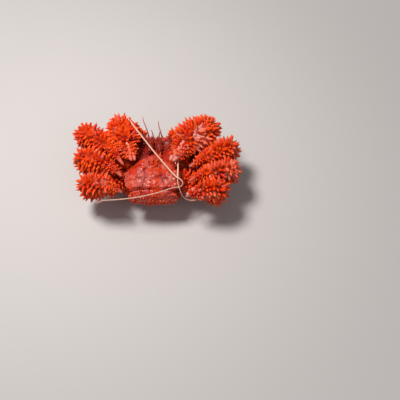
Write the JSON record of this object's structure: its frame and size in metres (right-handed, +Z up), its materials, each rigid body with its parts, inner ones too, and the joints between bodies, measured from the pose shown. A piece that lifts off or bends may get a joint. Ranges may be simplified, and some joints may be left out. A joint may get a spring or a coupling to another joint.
{
  "type": "hanasaki crab",
  "caption": "Life-size boiled spiny king crab lying on its back, its legs and claws folded over the belly and held by elastic bands.",
  "frame": {"origin": "centre of the bounding box at floor level, under the middle of the crab", "axes": "+Z up from the floor, +Y towards the crab's head, so with the animal on its back its own right side is at -X"},
  "size_m": [0.3028, 0.1854, 0.1199],
  "materials": {
    "shell": "cooked orange-red shell, spiny, slightly wet",
    "underside": "salmon-pink shell of the belly side with pale round tubercles",
    "eye": "glossy black-brown",
    "feeler": "dark red, satin",
    "elastic": "pale peach stretched rubber"
  },
  "bodies": {
    "root": {"carapace": "shell", "thorax": "underside", "abdomen_flap": "underside", "abdomen_base": "underside", "mouthpart_right": "underside", "eye_right": "eye", "feeler_right": "feeler", "mouthpart_left": "underside", "eye_left": "eye", "feeler_left": "feeler", "leg_right_1_base": "underside", "leg_right_1_merus": "shell", "leg_right_1_carpus": "shell", "leg_right_1_propodus": "shell", "leg_right_1_dactylus": "shell", "leg_right_2_base": "underside", "leg_right_2_merus": "shell", "leg_right_2_carpus": "shell", "leg_right_2_propodus": "shell", "leg_right_2_dactylus": "shell", "leg_right_3_base": "underside", "leg_right_3_merus": "shell", "leg_right_3_carpus": "shell", "leg_right_3_propodus": "shell", "leg_right_3_dactylus": "shell", "leg_left_1_base": "underside", "leg_left_1_merus": "shell", "leg_left_1_carpus": "shell", "leg_left_1_propodus": "shell", "leg_left_1_dactylus": "shell", "leg_left_2_base": "underside", "leg_left_2_merus": "shell", "leg_left_2_carpus": "shell", "leg_left_2_propodus": "shell", "leg_left_2_dactylus": "shell", "leg_left_3_base": "underside", "leg_left_3_merus": "shell", "leg_left_3_carpus": "shell", "leg_left_3_propodus": "shell", "leg_left_3_dactylus": "shell", "claw_right_base": "underside", "claw_right_merus": "shell", "claw_right_carpus": "shell", "claw_right_palm": "shell", "claw_right_finger": "shell", "claw_left_base": "underside", "claw_left_merus": "shell", "claw_left_carpus": "shell", "claw_left_palm": "shell", "claw_left_finger": "shell", "band_right_side": "elastic", "band_left_side": "elastic"}
  },
  "joints": []
}
